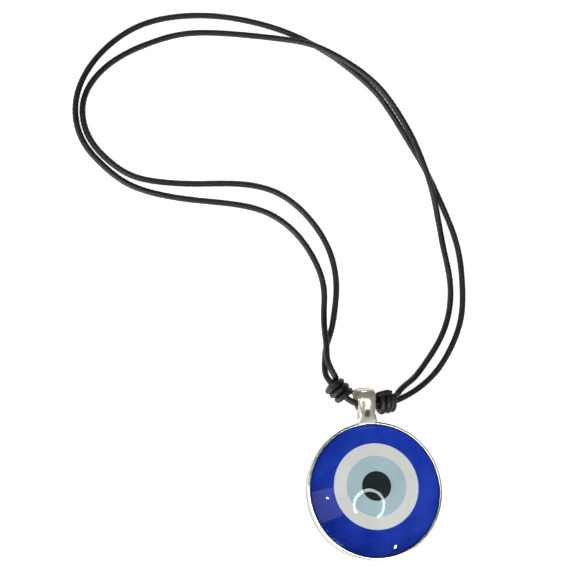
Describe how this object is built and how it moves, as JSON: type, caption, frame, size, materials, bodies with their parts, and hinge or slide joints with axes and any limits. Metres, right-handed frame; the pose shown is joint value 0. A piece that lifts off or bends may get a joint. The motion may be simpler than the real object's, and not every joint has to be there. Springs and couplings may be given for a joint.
{
  "type": "pendant necklace",
  "caption": "Round pendant with a printed eye under a domed glass, in a shallow metal tray with a cast bail, on a waxed cord that slides in its own knots.",
  "frame": {"origin": "centre of the tray's flat back face", "axes": "+Z out through the glass dome, +Y from the tray to the bail, +X to the right as the wearer's front is seen"},
  "size_m": [0.0899, 0.1341, 0.0076],
  "materials": {
    "tray_metal": "plated, polished",
    "bail_metal": "plated, polished",
    "clear_glue": "clear, cured",
    "paper": "coated paper",
    "blue_ink": "printed",
    "white_ink": "printed",
    "sky_ink": "printed",
    "black_ink": "printed",
    "clear_glass": "polished",
    "waxed_cord": "braided cotton, waxed"
  },
  "bodies": {
    "cord": {"outer_strand": "waxed_cord", "inner_strand": "waxed_cord", "bail_strand": "waxed_cord", "left_neck": "waxed_cord", "right_neck": "waxed_cord"},
    "pendant": {"bezel_tray": "tray_metal", "bail": "bail_metal", "tray_glue": "clear_glue", "print_paper": "paper", "ink_blue_ground": "blue_ink", "ink_white_ring": "white_ink", "ink_sky_iris": "sky_ink", "ink_pupil": "black_ink", "glass_glue": "clear_glue", "glass_cabochon": "clear_glass"},
    "left_knot": {"left_knot": "waxed_cord"},
    "right_knot": {"right_knot": "waxed_cord"}
  },
  "joints": [
    {"name": "pendant_swing", "type": "hinge", "parent": "cord", "child": "pendant", "pos_m": [0, 0.021, 0.00285], "axis": [-1, 0, 0], "range_deg": [0, 150]},
    {"name": "left_knot_slide", "type": "slide", "parent": "cord", "child": "left_knot", "axis": [-0.6557, 0.755, 0], "range_m": [0, 0.003], "deforming": ["left_neck"]},
    {"name": "right_knot_slide", "type": "slide", "parent": "cord", "child": "right_knot", "axis": [0.9949, 0.1005, 0], "range_m": [0, 0.003], "deforming": ["right_neck"]}
  ]
}
